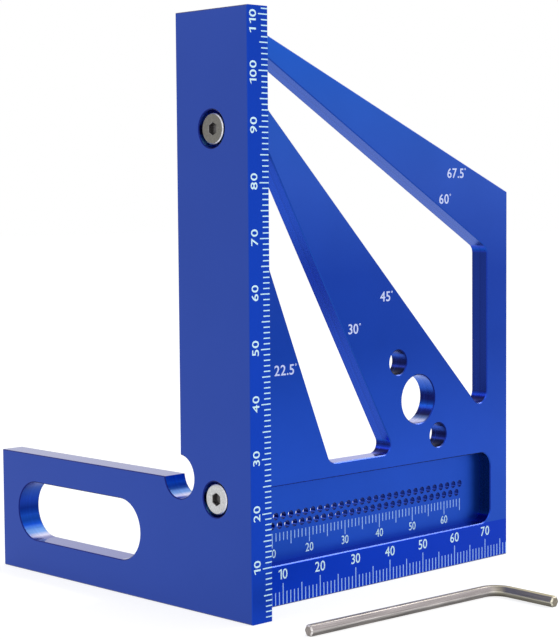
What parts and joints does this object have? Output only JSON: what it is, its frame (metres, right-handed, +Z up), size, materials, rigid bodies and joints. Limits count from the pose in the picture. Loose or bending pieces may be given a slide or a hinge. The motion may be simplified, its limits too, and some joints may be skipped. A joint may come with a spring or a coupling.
{
  "type": "set square",
  "caption": "L-shaped fence with a windowed scale plate screwed square to it: angle edges, round holes, a recessed pocket with staggered pencil holes, and a loose hex key.",
  "frame": {"origin": "bottom of the square, on the fence's inner face at the middle plane of the scale plate", "axes": "+Z up along the upright bar, +X from the fence along the scale plate, +Y from the scaled edges along the foot"},
  "size_m": [0.0826, 0.1076, 0.1115],
  "materials": {
    "fence_aluminium": "satin blue anodised",
    "plate_aluminium": "satin blue anodised",
    "screw_steel": "plain",
    "key_steel": "plain"
  },
  "bodies": {
    "fence": {"fence_plate": "fence_aluminium"},
    "scale": {"scale_plate": "plate_aluminium"},
    "upper_screw": {"upper_screw": "screw_steel"},
    "lower_screw": {"lower_screw": "screw_steel"},
    "hex_key": {"hex_key": "key_steel"}
  },
  "joints": [
    {"name": "plate_release", "type": "slide", "parent": "fence", "child": "scale", "axis": [1, 0, 0], "range_m": [0, 0.03]},
    {"name": "upper_unscrew", "type": "slide", "parent": "fence", "child": "upper_screw", "axis": [-1, 0, 0], "range_m": [0, 0.012]},
    {"name": "lower_unscrew", "type": "slide", "parent": "fence", "child": "lower_screw", "axis": [-1, 0, 0], "range_m": [0, 0.012]},
    {"name": "key_lift", "type": "slide", "parent": "fence", "child": "hex_key", "axis": [0, 0, 1], "range_m": [0, 0.06]}
  ]
}
